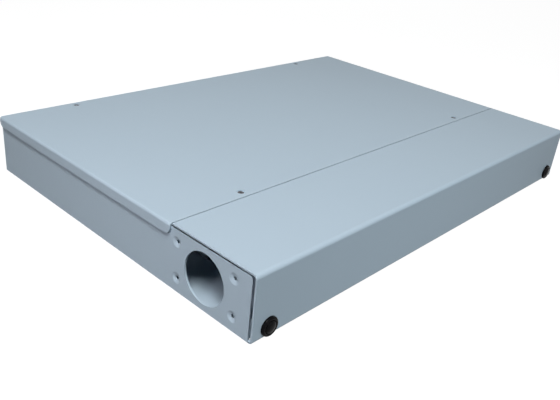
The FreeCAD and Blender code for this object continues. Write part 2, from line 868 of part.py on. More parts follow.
def make_cable_clamp(side):
    """A folded upright beside the cable's way in, with two slots for cable ties."""
    x = side * clamp_plate_x()
    path = [(x, sheet + clamp_high), (x, sheet), (x - side * clamp_foot, sheet)]
    if side > 0:
        path = path[::-1]
    low, high = clamp_middle() - clamp_long / 2, clamp_middle() + clamp_long / 2
    clamp = bent_sheet("Y", path, tray_bend, low, high)
    for offset in (-1, 1):
        y = clamp_middle() + offset * tie_slot_spacing / 2
        z = sheet + clamp_high - tie_slot_high
        slot = rectangle(y, z, tie_slot_wide, tie_slot_high)
        reach = 2 * sheet
        clamp = clamp.cut(prism("X", slot, [0] * 4, x - reach, x + reach))
    return clamp.cut(screw_hole(side * clamp_screw_x(), clamp_middle(), 2 * sheet))


def make_rear_grommet(side):
    """A rubber grommet with a closed skin, which fills one cable hole of the rear wall."""
    x = side * rear_hole_from_centre
    z = rear_hole_height
    outer = rear_hole_radius + grommet_lip
    soft = grommet_proud / 2
    inside = back - sheet - grommet_proud
    length = sheet + 2 * grommet_proud
    inner_lip = [(0, outer - soft), (soft, outer), (grommet_proud, outer)]
    outer_lip = [(length - grommet_proud, outer), (length - soft, outer), (length, outer - soft)]
    body = fused([
        bar(ring_sides, rear_hole_radius, x, inside, z, "Y", length),
        tapered(ring_sides, inner_lip, x, inside, z, "Y"),
        tapered(ring_sides, outer_lip, x, inside, z, "Y"),
    ])
    bore = rear_hole_radius - grommet_bore_wall
    skin = back - grommet_membrane
    return body.cut([bar(ring_sides, bore, x, inside, z, "Y", skin - inside),
                     bar(ring_sides, bore, x, back, z, "Y", grommet_proud)])


def make_earth_stud():
    """The earth stud behind the tray."""
    return threaded_stud(earth_stud_radius, back - earth_from_back, earth_stud_top)


def make_earth_washer():
    """The washer under the earth nut."""
    y = back - earth_from_back
    washer = bar(ring_sides, earth_washer_radius, 0, y, sheet, "Z", earth_washer_thick)
    return washer.cut(bar(screw_sides, earth_stud_radius + thread_clear, 0, y, sheet, "Z",
                          earth_washer_thick))


def make_earth_nut():
    """The nut that clamps an earth wire on the stud."""
    y = back - earth_from_back
    base = sheet + earth_washer_thick
    nut = bar(nut_sides, earth_nut_across / 2, 0, y, base, "Z", earth_nut_height)
    return nut.cut(bar(screw_sides, earth_stud_radius + thread_clear, 0, y, base, "Z",
                       earth_nut_height))


os.makedirs("parts", exist_ok=True)
save("base_tray", make_base_tray())
save("adapter_panel", make_adapter_panel())
save("floor_screws", make_floor_screws())
save("top_cover", make_top_cover())
save("top_cover_screws", make_top_cover_screws())
save("cover_nuts", make_cover_nuts())
save("front_cover", make_front_cover())
save("front_cover_hooks", make_front_cover_hooks())
for number, x in enumerate(adapter_spots, 1):
    save("adapter_%02d" % number, make_adapter(x))
    save("dust_cap_%02d" % number, make_dust_cap(x))
save("adapter_clips", make_adapter_clips())
save("splice_tray", make_splice_tray())
save("splice_comb_front", make_splice_comb(-1))
save("splice_comb_rear", make_splice_comb(1))
save("splice_tray_lid", make_splice_tray_lid())
save("tray_stud", make_tray_stud())
save("tray_thumb_nut", make_tray_thumb_nut())
save("tray_spacers", make_tray_spacers())
for word, side in (("left", -1), ("right", 1)):
    save("side_wall_" + word, make_side_wall(side))
    save("latch_grommet_" + word, make_latch_grommet(side))
    save("latch_plunger_" + word, make_latch_plunger(side))
    save("panel_trim_" + word, make_panel_trim(side))
    save("fibre_clip_" + word, make_fibre_clip(side))
    save("bend_guide_" + word, make_bend_guide(side))
    save("cable_clamp_" + word, make_cable_clamp(side))
    save("rear_grommet_" + word, make_rear_grommet(side))
save("earth_stud", make_earth_stud())
save("earth_washer", make_earth_washer())
save("earth_nut", make_earth_nut())
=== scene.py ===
import json
import math

import bmesh
import bpy
from mathutils import Matrix, Vector


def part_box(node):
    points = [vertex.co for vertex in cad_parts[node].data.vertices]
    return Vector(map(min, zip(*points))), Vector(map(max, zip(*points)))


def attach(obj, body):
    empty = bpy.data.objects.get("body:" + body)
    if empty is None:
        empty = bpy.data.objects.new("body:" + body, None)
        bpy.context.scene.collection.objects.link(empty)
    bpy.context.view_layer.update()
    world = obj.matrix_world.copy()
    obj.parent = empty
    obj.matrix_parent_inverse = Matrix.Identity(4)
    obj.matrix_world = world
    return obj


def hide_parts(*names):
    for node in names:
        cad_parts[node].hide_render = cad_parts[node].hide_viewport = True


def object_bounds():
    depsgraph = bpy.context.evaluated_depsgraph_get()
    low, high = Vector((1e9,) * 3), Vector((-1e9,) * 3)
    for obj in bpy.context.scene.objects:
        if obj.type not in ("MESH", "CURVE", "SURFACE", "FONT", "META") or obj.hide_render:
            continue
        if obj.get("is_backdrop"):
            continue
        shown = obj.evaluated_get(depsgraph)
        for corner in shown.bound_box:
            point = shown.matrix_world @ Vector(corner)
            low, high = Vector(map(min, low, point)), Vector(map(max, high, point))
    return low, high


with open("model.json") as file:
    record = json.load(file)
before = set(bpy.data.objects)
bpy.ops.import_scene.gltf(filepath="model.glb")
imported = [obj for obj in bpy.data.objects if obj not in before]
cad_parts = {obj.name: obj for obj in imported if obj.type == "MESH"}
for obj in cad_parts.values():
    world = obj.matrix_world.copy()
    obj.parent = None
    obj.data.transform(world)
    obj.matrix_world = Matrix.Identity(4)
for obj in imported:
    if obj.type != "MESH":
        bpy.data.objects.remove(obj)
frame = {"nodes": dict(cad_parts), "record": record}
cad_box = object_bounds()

# The camera stands in front of the box's left end, a little above it and slightly tilted, as
# the photographer's did. It was solved from the box's straight edges and the round entry.
camera_spot = Vector((-0.40016, -0.33003, 0.22957))
camera_azimuth = math.radians(-48.815)
camera_elevation = math.radians(26.388)
camera_roll = math.radians(5.992)
back_way = Vector((math.sin(camera_azimuth) * math.cos(camera_elevation),
                   -math.cos(camera_azimuth) * math.cos(camera_elevation),
                   math.sin(camera_elevation)))
level_right = Vector((math.cos(camera_azimuth), math.sin(camera_azimuth), 0.0))
level_up = back_way.cross(level_right)
right_way = level_right * math.cos(camera_roll) + level_up * math.sin(camera_roll)
up_way = level_up * math.cos(camera_roll) - level_right * math.sin(camera_roll)
camera_data = bpy.data.cameras.new("photo_camera")
camera_data.lens = 42.84
camera_data.sensor_width = 36.0
camera_data.clip_start = 0.01
camera_data.clip_end = 20.0
camera = bpy.data.objects.new("photo_camera", camera_data)
camera.matrix_world = (Matrix.Translation(camera_spot)
                       @ Matrix((right_way, up_way, back_way)).transposed().to_4x4())
bpy.context.scene.collection.objects.link(camera)
bpy.context.scene.camera = camera
bpy.context.scene.view_settings.view_transform = "Standard"


# The studio: a soft box high above the front left corner, a small fill beside the left wall, one
# beyond the rear right corner and one before the front. The room is white to the eye and in
# reflections, and dim as a light.
def soft_box(name, spot, aim, wide, high, power, colour, spread=180.0):
    """A rectangular lamp at a spot that aims at another, with or without a grid in front."""
    lamp_data = bpy.data.lights.new(name, "AREA")
    lamp_data.shape = "RECTANGLE"
    lamp_data.size, lamp_data.size_y = wide, high
    lamp_data.energy = power
    lamp_data.color = colour
    lamp_data.spread = math.radians(spread)
    lamp = bpy.data.objects.new(name, lamp_data)
    lamp.location = spot
    lamp.rotation_euler = (Vector(spot) - Vector(aim)).to_track_quat("Z", "Y").to_euler()
    lamp.visible_camera = False
    bpy.context.scene.collection.objects.link(lamp)
    return lamp


soft_box("overhead_soft_box", spot=(-0.77, -0.68, 1.55), aim=(-0.17, -0.11, 0.02), wide=0.7,
         high=0.7, power=3.3, colour=(1.0, 0.99, 0.98), spread=56.0)
soft_box("left_fill", spot=(-0.47, -0.09, 0.20), aim=(-0.19, -0.08, 0.02), wide=0.07,
         high=0.07, power=0.25, colour=(1.0, 0.92, 0.96))
rear_fill = soft_box("rear_fill", spot=(0.95, 1.05, 0.08), aim=(0.15, 0.10, 0.02), wide=0.6,
                     high=0.12, power=4.2, colour=(0.98, 0.99, 1.0))
rear_fill.visible_glossy = False
soft_box("front_fill", spot=(-0.03, -0.50, 0.10), aim=(-0.03, -0.137, 0.02), wide=0.25,
         high=0.10, power=0.20, colour=(0.86, 0.96, 1.0))


def white_to_the_eye(tree):
    """One for rays from the camera, a gloss or a clear piece, and nought for all others."""
    path = tree.nodes.new("ShaderNodeLightPath")
    first = tree.nodes.new("ShaderNodeMath")
    first.operation = "MAXIMUM"
    tree.links.new(path.outputs["Is Camera Ray"], first.inputs[0])
    tree.links.new(path.outputs["Is Glossy Ray"], first.inputs[1])
    second = tree.nodes.new("ShaderNodeMath")
    second.operation = "MAXIMUM"
    tree.links.new(first.outputs[0], second.inputs[0])
    tree.links.new(path.outputs["Is Transmission Ray"], second.inputs[1])
    return second.outputs[0]


world = bpy.data.worlds.new("studio_air")
bpy.context.scene.world = world
world.use_nodes = True
air = world.node_tree
air.nodes.clear()
air_out = air.nodes.new("ShaderNodeOutputWorld")
air_mix = air.nodes.new("ShaderNodeMixShader")
air_glow = air.nodes.new("ShaderNodeBackground")
air_glow.inputs["Color"].default_value = (0.84, 0.95, 1.0, 1.0)
air_glow.inputs["Strength"].default_value = 0.045
air_white = air.nodes.new("ShaderNodeBackground")
air_white.inputs["Color"].default_value = (1.0, 1.0, 1.0, 1.0)
air_white.inputs["Strength"].default_value = 1.0
air.links.new(white_to_the_eye(air), air_mix.inputs["Fac"])
air.links.new(air_glow.outputs[0], air_mix.inputs[1])
air.links.new(air_white.outputs[0], air_mix.inputs[2])
air.links.new(air_mix.outputs[0], air_out.inputs["Surface"])

# The floor is a pale matt sheet of paper. To the eye it glows a little more, so that it is
# nearly white and still takes the soft shadow of the box.
paper_gap = 0.0004
bpy.ops.object.select_all(action="DESELECT")
bpy.ops.mesh.primitive_plane_add(size=6.0, location=(0.0, 0.0, cad_box[0].z - paper_gap))
floor = bpy.context.object
floor.name = "pale_floor"
paper = bpy.data.materials.new("pale_paper")
paper.use_nodes = True
paper_tree = paper.node_tree
paper_tree.nodes.clear()
paper_out = paper_tree.nodes.new("ShaderNodeOutputMaterial")
paper_matt = paper_tree.nodes.new("ShaderNodeBsdfDiffuse")
paper_matt.inputs["Color"].default_value = (0.12, 0.122, 0.125, 1.0)
paper_glow = paper_tree.nodes.new("ShaderNodeEmission")
paper_glow.inputs["Strength"].default_value = 0.965
paper_add = paper_tree.nodes.new("ShaderNodeAddShader")
paper_mix = paper_tree.nodes.new("ShaderNodeMixShader")
paper_tree.links.new(paper_matt.outputs[0], paper_add.inputs[0])
paper_tree.links.new(paper_glow.outputs[0], paper_add.inputs[1])
paper_tree.links.new(white_to_the_eye(paper_tree), paper_mix.inputs["Fac"])
paper_tree.links.new(paper_matt.outputs[0], paper_mix.inputs[1])
paper_tree.links.new(paper_add.outputs[0], paper_mix.inputs[2])
paper_tree.links.new(paper_mix.outputs[0], paper_out.inputs["Surface"])
floor.data.materials.append(paper)
floor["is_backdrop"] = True


# The tray is one sheet of 1.2 mm steel, folded up at the front, the back and the sides, and
# powder coated. The satin coat has a faint orange peel and slow changes of shade and gloss.
def surface_finish(name, shade, other_shade, patch_scale, rough, rough_swing, grain_scale, grain,
                   constants=()):
    """A material whose shade, gloss and fine surface all vary a little over the piece."""
    coat = bpy.data.materials.new(name)
    coat.use_nodes = True
    tree = coat.node_tree
    shader = tree.nodes["Principled BSDF"]
    place = tree.nodes.new("ShaderNodeTexCoord")
    patches = tree.nodes.new("ShaderNodeTexNoise")
    patches.inputs["Scale"].default_value = patch_scale
    patches.inputs["Detail"].default_value = 3.0
    tree.links.new(place.outputs["Object"], patches.inputs["Vector"])
    shades = tree.nodes.new("ShaderNodeMix")
    shades.data_type = "RGBA"
    shades.inputs["A"].default_value = (*shade, 1.0)
    shades.inputs["B"].default_value = (*other_shade, 1.0)
    tree.links.new(patches.outputs["Fac"], shades.inputs["Factor"])
    tree.links.new(shades.outputs["Result"], shader.inputs["Base Color"])
    gloss = tree.nodes.new("ShaderNodeMapRange")
    gloss.inputs["To Min"].default_value = rough - rough_swing
    gloss.inputs["To Max"].default_value = rough + rough_swing
    tree.links.new(patches.outputs["Fac"], gloss.inputs["Value"])
    tree.links.new(gloss.outputs["Result"], shader.inputs["Roughness"])
    peel = tree.nodes.new("ShaderNodeTexNoise")
    peel.inputs["Scale"].default_value = grain_scale
    peel.inputs["Detail"].default_value = 2.0
    tree.links.new(place.outputs["Object"], peel.inputs["Vector"])
    bump = tree.nodes.new("ShaderNodeBump")
    bump.inputs["Distance"].default_value = grain
    tree.links.new(peel.outputs["Fac"], bump.inputs["Height"])
    tree.links.new(bump.outputs["Normal"], shader.inputs["Normal"])
    for socket, value in constants:
        shader.inputs[socket].default_value = value
    return coat


powder_coat = surface_finish(
    "light_grey_powder_coat", shade=(0.46, 0.58, 0.68), other_shade=(0.49, 0.61, 0.71),
    patch_scale=7.0, rough=0.44, rough_swing=0.04, grain_scale=1100.0, grain=0.00002,
    constants=[("Specular IOR Level", 0.1)])


def alone(piece):
    """Leaves one piece selected and active, and nothing else."""
    bpy.ops.object.select_all(action="DESELECT")
    piece.select_set(True)
    bpy.context.view_layer.objects.active = piece


def named(name):
    """Names the primitive that was just added and its mesh."""
    piece = bpy.context.object
    piece.name = name
    piece.data.name = name
    return piece


def choose(piece, kind, fits):
    """Selects, in edit mode, the corners or the edges whose place fits."""
    bpy.ops.mesh.select_mode(type=kind)
    bpy.ops.mesh.select_all(action="DESELECT")
    cage = bmesh.from_edit_mesh(piece.data)
    for part in {"VERT": cage.verts, "EDGE": cage.edges}[kind]:
        if fits(part):
            part.select_set(True)
    bmesh.update_edit_mesh(piece.data)


def broken_edges(piece, width, steps=2, from_angle=35.0):
    """Breaks a finished piece's sharp edges, shades it smooth and puts its place in its mesh."""
    alone(piece)
    bpy.ops.object.transform_apply(location=True, rotation=True, scale=True)
    if width > 0:
        edges = piece.modifiers.new("edges", "BEVEL")
        edges.width = width
        edges.segments = steps
        edges.limit_method = "ANGLE"
        edges.angle_limit = math.radians(from_angle)
        edges.use_clamp_overlap = True
        bpy.ops.object.modifier_apply(modifier="edges")
    bpy.ops.object.shade_smooth_by_angle(angle=math.radians(40.0))
    flats = piece.modifiers.new("flats", "WEIGHTED_NORMAL")
    flats.keep_sharp = True
    bpy.ops.object.modifier_apply(modifier="flats")


body_of_node = {name: body for body, names in frame["record"]["behaviour"]["bodies"].items()
                for name in names}


def fit_to(piece, node, coat):
    """Gives a piece its material and the body of a CAD node, and hides the node."""
    piece.data.materials.clear()
    piece.data.materials.append(coat)
    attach(piece, body_of_node[node])
    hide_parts(node)


def softened(node, coat, width, steps=2):
    """A copy of a CAD piece with its facets joined, its edges broken and its own material."""
    piece = bpy.data.objects.new("soft_" + node, frame["nodes"][node].data.copy())
    piece.data.name = piece.name
    bpy.context.scene.collection.objects.link(piece)
    alone(piece)
    bpy.ops.object.mode_set(mode="EDIT")
    bpy.ops.mesh.select_all(action="SELECT")
    bpy.ops.mesh.remove_doubles(threshold=0.000002)
    bpy.ops.mesh.dissolve_limited(angle_limit=math.radians(1.0))
    bpy.ops.object.mode_set(mode="OBJECT")
    broken_edges(piece, width, steps)
    fit_to(piece, node, coat)


softened("base_tray", powder_coat, 0.00015)

# The two side walls are flat plates welded to the tray's flanges. Each has a round cable entry
# with a broken edge and four formed countersinks round it for the rack brackets' screws. Its
# front end and its top stand back a little from the front cover and slope inwards.
def cut_out(piece, cutter):
    """Takes the cutter's shape out of a piece."""
    alone(piece)
    cut = piece.modifiers.new("cut", "BOOLEAN")
    cut.operation = "DIFFERENCE"
    cut.solver = "EXACT"
    cut.object = cutter
    bpy.ops.object.modifier_apply(modifier="cut")
    bpy.data.objects.remove(cutter, do_unlink=True)


entry_middle = (-0.09655, 0.021)
entry_radius = 0.0168
bracket_middle = (-0.09655, 0.0216)
bracket_hole = 0.0012
crater_root = bracket_hole - 0.0002
crater_mouth = 0.0064
crater_length = 0.0018
drill_length = 0.01
seam_y = -0.068
front_gap = 0.0014
foot_high = 0.0005
top_gap = 0.0003
corner_round = 0.002
inner_slope = 0.0011
most_of_sheet = 0.001
top_band, front_band, foot_band = 0.0021, 0.0036, 0.003
nearly = 1e-5
for word, side in (("left", -1), ("right", 1)):
    low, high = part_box("side_wall_" + word)
    outer = side * max(abs(low.x), abs(high.x))
    bpy.ops.object.select_all(action="DESELECT")
    bpy.ops.mesh.primitive_cube_add(size=1.0, location=(low + high) / 2, scale=high - low)
    wall = named("welded_wall_" + word)
    bpy.ops.object.transform_apply(location=True, rotation=True, scale=True)
    bpy.ops.mesh.primitive_cube_add(size=1.0, location=(outer, low.y, foot_high + high.z / 2),
                                    scale=(drill_length, 2 * front_gap, high.z))
    cut_out(wall, named("front_notch"))
    bpy.ops.mesh.primitive_cube_add(size=1.0, location=(outer, (low.y + seam_y) / 2, high.z),
                                    scale=(drill_length, seam_y - low.y, 2 * top_gap))
    cut_out(wall, named("top_notch"))
    bpy.ops.object.mode_set(mode="EDIT")
    choose(wall, "EDGE", lambda e: abs(e.verts[0].co.x - e.verts[1].co.x) > most_of_sheet
           and abs(e.verts[0].co.y - low.y - front_gap) < nearly
           and e.verts[0].co.z > 2 * foot_high)
    bpy.ops.mesh.bevel(offset=corner_round, segments=6)
    choose(wall, "VERT", lambda v: abs(v.co.x) < abs(outer) - most_of_sheet
           and v.co.z > high.z - top_band)
    bpy.ops.transform.translate(value=(0.0, 0.0, -inner_slope))
    choose(wall, "VERT", lambda v: abs(v.co.x) < abs(outer) - most_of_sheet
           and v.co.y < low.y + front_band and v.co.z > foot_band)
    bpy.ops.transform.translate(value=(0.0, inner_slope, 0.0))
    bpy.ops.object.mode_set(mode="OBJECT")
    bpy.ops.mesh.primitive_cylinder_add(vertices=96, radius=entry_radius, depth=drill_length,
                                        location=(outer, *entry_middle),
                                        rotation=(0.0, math.pi / 2, 0.0))
    cut_out(wall, named("entry_drill"))
    for along in (-0.024, 0.024):
        for up in (-0.0122, 0.0122):
            spot = (outer, bracket_middle[0] + along, bracket_middle[1] + up)
            bpy.ops.mesh.primitive_cylinder_add(
                vertices=32, radius=bracket_hole, depth=drill_length, location=spot,
                rotation=(0.0, math.pi / 2, 0.0))
            cut_out(wall, named("hole_drill"))
            bpy.ops.mesh.primitive_cone_add(
                vertices=48, radius1=crater_root, radius2=crater_mouth, depth=crater_length,
                location=spot, rotation=(0.0, side * math.pi / 2, 0.0))
            cut_out(wall, named("crater_drill"))
    broken_edges(wall, 0.00006, from_angle=16.0)
    fit_to(wall, "side_wall_" + word, powder_coat)


# The rear wall's two cable holes are closed by black rubber grommets. The thin skin inside the
# rolled lips is cut when a cable goes through.
def turned_piece(name, middle, along, profile, sides):
    """A round piece whose profile gives pairs of a way along the axis and a radius."""
    axis = Vector(along)
    turn = Vector((0.0, 0.0, 1.0)).rotation_difference(axis).to_euler()
    start, radius = profile[0]
    bpy.ops.object.select_all(action="DESELECT")
    bpy.ops.mesh.primitive_circle_add(vertices=sides, radius=radius, rotation=turn,
                                      location=Vector(middle) + axis * start)
    piece = named(name)
    bpy.ops.object.transform_apply(location=True, rotation=True, scale=True)
    bpy.ops.object.mode_set(mode="EDIT")
    bpy.ops.mesh.select_all(action="SELECT")
    for way, wide in profile[1:]:
        bpy.ops.mesh.extrude_region_move(
            TRANSFORM_OT_translate={"value": axis * (way - start)})
        share = wide / radius
        grow = [1.0 if abs(a) > 0.5 else share for a in axis]
        bpy.ops.transform.resize(value=grow, center_override=Vector(middle) + axis * way)
        start, radius = way, wide
    bpy.ops.object.mode_set(mode="OBJECT")
    return piece


def closed_ends(piece):
    """Fills both open rims of a turned piece and turns its faces outwards."""
    alone(piece)
    bpy.ops.object.mode_set(mode="EDIT")
    choose(piece, "EDGE", lambda e: e.is_boundary)
    bpy.ops.mesh.edge_face_add()
    bpy.ops.mesh.select_all(action="SELECT")
    bpy.ops.mesh.normals_make_consistent(inside=False)
    bpy.ops.object.mode_set(mode="OBJECT")


def joined_rims(piece):
    """Joins the first and the last rim of a ring's profile, which lie in the same place."""
    alone(piece)
    bpy.ops.object.mode_set(mode="EDIT")
    bpy.ops.mesh.select_all(action="SELECT")
    bpy.ops.mesh.remove_doubles(threshold=0.000005)
    bpy.ops.mesh.normals_make_consistent(inside=False)
    bpy.ops.object.mode_set(mode="OBJECT")


def copied(piece, name, shift):
    """A copy with its own mesh, a step away."""
    alone(piece)
    bpy.ops.object.duplicate()
    twin = named(name)
    twin.location = shift
    bpy.ops.object.transform_apply(location=True, rotation=True, scale=True)
    return twin


def one_piece(pieces, name):
    """Joins finished pieces that the CAD keeps in one node."""
    alone(pieces[0])
    for piece in pieces:
        piece.select_set(True)
    bpy.ops.object.join()
    return named(name)


black_rubber = surface_finish(
    "black_rubber", shade=(0.018, 0.018, 0.019), other_shade=(0.030, 0.030, 0.031),
    patch_scale=220.0, rough=0.62, rough_swing=0.08, grain_scale=900.0, grain=0.00004)
grommet_profile = [(-0.0010, 0.0002), (-0.0010, 0.0085), (-0.0032, 0.0085), (-0.0032, 0.0115),
                   (-0.0026, 0.0123), (-0.0018, 0.0125),
                   (-0.0012, 0.0123), (-0.0012, 0.0100), (0.0, 0.0100), (0.0, 0.0123),
                   (0.0006, 0.0125), (0.0014, 0.0123), (0.0019, 0.0115), (0.0020, 0.0100),
                   (0.0018, 0.0088), (0.0014, 0.0085), (0.0, 0.0085), (-0.0001, 0.0078),
                   (0.0, 0.0030), (0.0, 0.0002)]
grommet_x, grommet_z = 0.110, 0.021
for word, side in (("left", -1), ("right", 1)):
    middle = (side * grommet_x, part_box("base_tray")[1].y, grommet_z)
    grommet = turned_piece("cable_grommet_" + word, middle, (0.0, 1.0, 0.0), grommet_profile, 64)
    closed_ends(grommet)
    broken_edges(grommet, 0.0)
    fit_to(grommet, "rear_grommet_" + word, black_rubber)

# The earth point is a zinc plated stud welded to the floor, with a flat washer and a hex nut.
# The studs are turned with the fine grooves of their threads.
zinc = surface_finish(
    "bright_zinc", shade=(0.58, 0.59, 0.60), other_shade=(0.68, 0.68, 0.67), patch_scale=350.0,
    rough=0.34, rough_swing=0.09, grain_scale=1500.0, grain=0.00002,
    constants=[("Metallic", 1.0)])
upright = (0.0, 0.0, 1.0)
groove_share = 0.86
tip_share = 0.66


def threaded(name, spot, foot, top, radius, pitch):
    """An upright stud with grooves cut round it from a little above its foot to its top."""
    profile = [(0.0, radius)]
    level = foot
    while level < top - foot - pitch:
        profile += [(level, radius), (level + pitch / 2, radius * groove_share)]
        level += pitch
    profile += [(top - radius / 3, radius), (top, radius * tip_share)]
    stud = turned_piece(name, spot, upright, profile, 32)
    closed_ends(stud)
    broken_edges(stud, 0.0)
    return stud


earth_spot = (0.0, 0.12185, 0.0012)
fit_to(threaded("earth_point_stud", earth_spot, foot=0.0012, top=0.0148, radius=0.0025,
                pitch=0.0008), "earth_stud", zinc)
washer = turned_piece("earth_point_washer", earth_spot, upright,
                      [(0.0, 0.00255), (0.0, 0.0049), (0.0001, 0.0050), (0.0009, 0.0050),
                       (0.0010, 0.0049), (0.0010, 0.00255), (0.0, 0.00255)], 64)
joined_rims(washer)
broken_edges(washer, 0.0)
fit_to(washer, "earth_washer", zinc)
softened("earth_nut", zinc, 0.0002)

# Two folded clamps take the cables' weight behind the entries, with slots for cable ties. Six
# pan head screws hold them and the adapter panel's foot to the floor.
for word in ("left", "right"):
    softened("cable_clamp_" + word, zinc, 0.0002)
floor_spots = [(x, -0.07085) for x in (-0.140, -0.060, 0.060, 0.140)]
floor_spots += [(-0.1485, -0.05035), (0.1485, -0.05035)]
first_x, first_y = floor_spots[0]
pan_top = 0.0042
pan_profile = [(0.0003, 0.0011), (0.0006, 0.00145), (0.0024, 0.00145), (0.0024, 0.00275),
               (0.0033, 0.00275), (0.0037, 0.0026), (0.0040, 0.0022), (pan_top, 0.0014),
               (pan_top, 0.0002)]
pan_recess = (0.0030, 0.0006, 0.0016)
pan_screw = turned_piece("pan_screw", (first_x, first_y, 0.0), upright, pan_profile, 48)
closed_ends(pan_screw)
for turn in (math.pi / 4, -math.pi / 4):
    bpy.ops.mesh.primitive_cube_add(size=1.0, location=(first_x, first_y, pan_top),
                                    scale=pan_recess, rotation=(0.0, 0.0, turn))
    cut_out(pan_screw, named("cross_punch"))
broken_edges(pan_screw, 0.00006, 1)
pan_screws = [pan_screw]
for x, y in floor_spots[1:]:
    pan_screws.append(copied(pan_screw, "pan_screw", (x - first_x, y - first_y, 0.0)))
fit_to(one_piece(pan_screws, "pan_head_screws"), "floor_screws", zinc)

# The adapter panel is folded from the same powder coated sheet and divides the box into the
# patching room and the splicing room. Its free ends have rubber edge strips.
softened("adapter_panel", powder_coat, 0.00015)
for word in ("left", "right"):
    softened("panel_trim_" + word, black_rubber, 0.0003)

# Twelve square adapters snap into the panel. Each is moulded in blue plastic, a steel spring
# saddle holds it from behind, and a soft milky cap keeps the dust out of its front port.
adapter_blue = surface_finish(
    "moulded_blue", shade=(0.012, 0.105, 0.40), other_shade=(0.020, 0.125, 0.45),
    patch_scale=120.0, rough=0.34, rough_swing=0.05, grain_scale=900.0, grain=0.00002)
cap_white = surface_finish(
    "soft_milky_cap", shade=(0.70, 0.71, 0.69), other_shade=(0.78, 0.78, 0.75),
    patch_scale=160.0, rough=0.48, rough_swing=0.06, grain_scale=800.0, grain=0.00003,
    constants=[("Subsurface Weight", 0.15), ("Subsurface Scale", 0.002)])
for number in range(1, 13):
    softened("adapter_%02d" % number, adapter_blue, 0.00018)
    softened("dust_cap_%02d" % number, cap_white, 0.0004, 3)
softened("adapter_clips", zinc, 0.0001, 1)

# The fibre clips are moulded in black plastic and the bend guides in light grey. They stand on
# the floor and lead the fibres round the corners without a tight bend.
tray_grey = surface_finish(
    "moulded_light_grey", shade=(0.56, 0.57, 0.56), other_shade=(0.64, 0.64, 0.62),
    patch_scale=45.0, rough=0.46, rough_swing=0.05, grain_scale=900.0, grain=0.00003)
black_nylon = surface_finish(
    "glossy_black_nylon", shade=(0.003, 0.003, 0.004), other_shade=(0.005, 0.005, 0.006),
    patch_scale=180.0, rough=0.09, rough_swing=0.02, grain_scale=1300.0, grain=0.000008,
    constants=[("Specular IOR Level", 0.04)])
for word in ("left", "right"):
    softened("fibre_clip_" + word, black_nylon, 0.0004, 3)
    softened("bend_guide_" + word, tray_grey, 0.0003)

# The splice tray stands on three round spacers and a threaded stud. It is moulded with a rim,
# fingers and hubs for the spare fibre, and its combs hold the splice sleeves.
tray_y, tray_foot = 0.03285, 0.0012
stud_bore, plain_bore = 0.00205, 0.0010
spacers = []
for x in (-0.055, 0.0, 0.055):
    inner = stud_bore if x == 0.0 else plain_bore
    spacer = turned_piece("tray_spacer", (x, tray_y, tray_foot), upright,
                          [(0.0, inner), (0.0, 0.0046), (0.0004, 0.0050), (0.0036, 0.0050),
                           (0.0040, 0.0046), (0.0040, inner), (0.0, inner)], 48)
    joined_rims(spacer)
    broken_edges(spacer, 0.0)
    spacers.append(spacer)
fit_to(one_piece(spacers, "round_tray_spacers"), "tray_spacers", black_nylon)
fit_to(threaded("tray_carrying_stud", (0.0, tray_y, tray_foot), foot=0.0012, top=0.0228,
                radius=0.0020, pitch=0.0007), "tray_stud", zinc)
softened("splice_tray", tray_grey, 0.0003)
for word in ("front", "rear"):
    softened("splice_comb_" + word, tray_grey, 0.0002)

# A lid moulded in clear plastic snaps over the tray. A fluted black thumb nut on the stud holds
# both down and is turned by hand.
clear_plastic = surface_finish(
    "clear_lid_plastic", shade=(0.84, 0.88, 0.90), other_shade=(0.88, 0.92, 0.93),
    patch_scale=40.0, rough=0.09, rough_swing=0.02, grain_scale=300.0, grain=0.00001,
    constants=[("Alpha", 0.28)])
softened("splice_tray_lid", clear_plastic, 0.0003)
softened("tray_thumb_nut", black_nylon, 0.0003)

# Three stepped hooks are spot welded under the front cover and slip through slots in the
# adapter panel when the cover is pushed home.
softened("front_cover_hooks", zinc, 0.0002)

# The front cover is folded from one sheet: the top strip, the front face and a narrow return
# under it. It pulls off forwards and its two lower corners are held by the latches.
low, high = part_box("front_cover")
latch_spots = [(-0.1781, 0.007), (0.1781, 0.007)]
latch_hole = 0.0036
face_y = low.y
sheet = 0.0012
return_run = 0.0034
upper_bend, lower_bend = 0.0028, 0.0018
bpy.ops.object.select_all(action="DESELECT")
bpy.ops.mesh.primitive_plane_add(size=1.0, rotation=(math.pi / 2, 0.0, 0.0),
                                 location=((low.x + high.x) / 2, face_y, (low.z + high.z) / 2))
front_sheet = named("folded_front_cover")
front_sheet.scale = (high.x - low.x, high.z - low.z, 1.0)
bpy.ops.object.transform_apply(location=True, rotation=True, scale=True)
bpy.ops.object.mode_set(mode="EDIT")
for level, run in ((high.z, high.y - low.y), (low.z, return_run)):
    choose(front_sheet, "EDGE", lambda e: all(
        abs(v.co.z - level) < nearly and v.co.y < face_y + nearly for v in e.verts))
    bpy.ops.mesh.extrude_region_move(TRANSFORM_OT_translate={"value": (0.0, run, 0.0)})
for level, bend in ((high.z, upper_bend), (low.z, lower_bend)):
    choose(front_sheet, "EDGE", lambda e: all(
        abs(v.co.z - level) < nearly and v.co.y < face_y + nearly for v in e.verts))
    bpy.ops.mesh.bevel(offset=bend, segments=8)
bpy.ops.object.mode_set(mode="OBJECT")
skin = front_sheet.modifiers.new("skin", "SOLIDIFY")
skin.thickness = sheet
skin.offset = -1.0
bpy.ops.object.modifier_apply(modifier="skin")
for x, z in latch_spots:
    bpy.ops.mesh.primitive_cylinder_add(
        vertices=64, radius=latch_hole, depth=5 * sheet, location=(x, face_y, z),
        rotation=(math.pi / 2, 0.0, 0.0))
    cut_out(front_sheet, named("latch_drill"))
broken_edges(front_sheet, 0.00012)
fit_to(front_sheet, "front_cover", powder_coat)

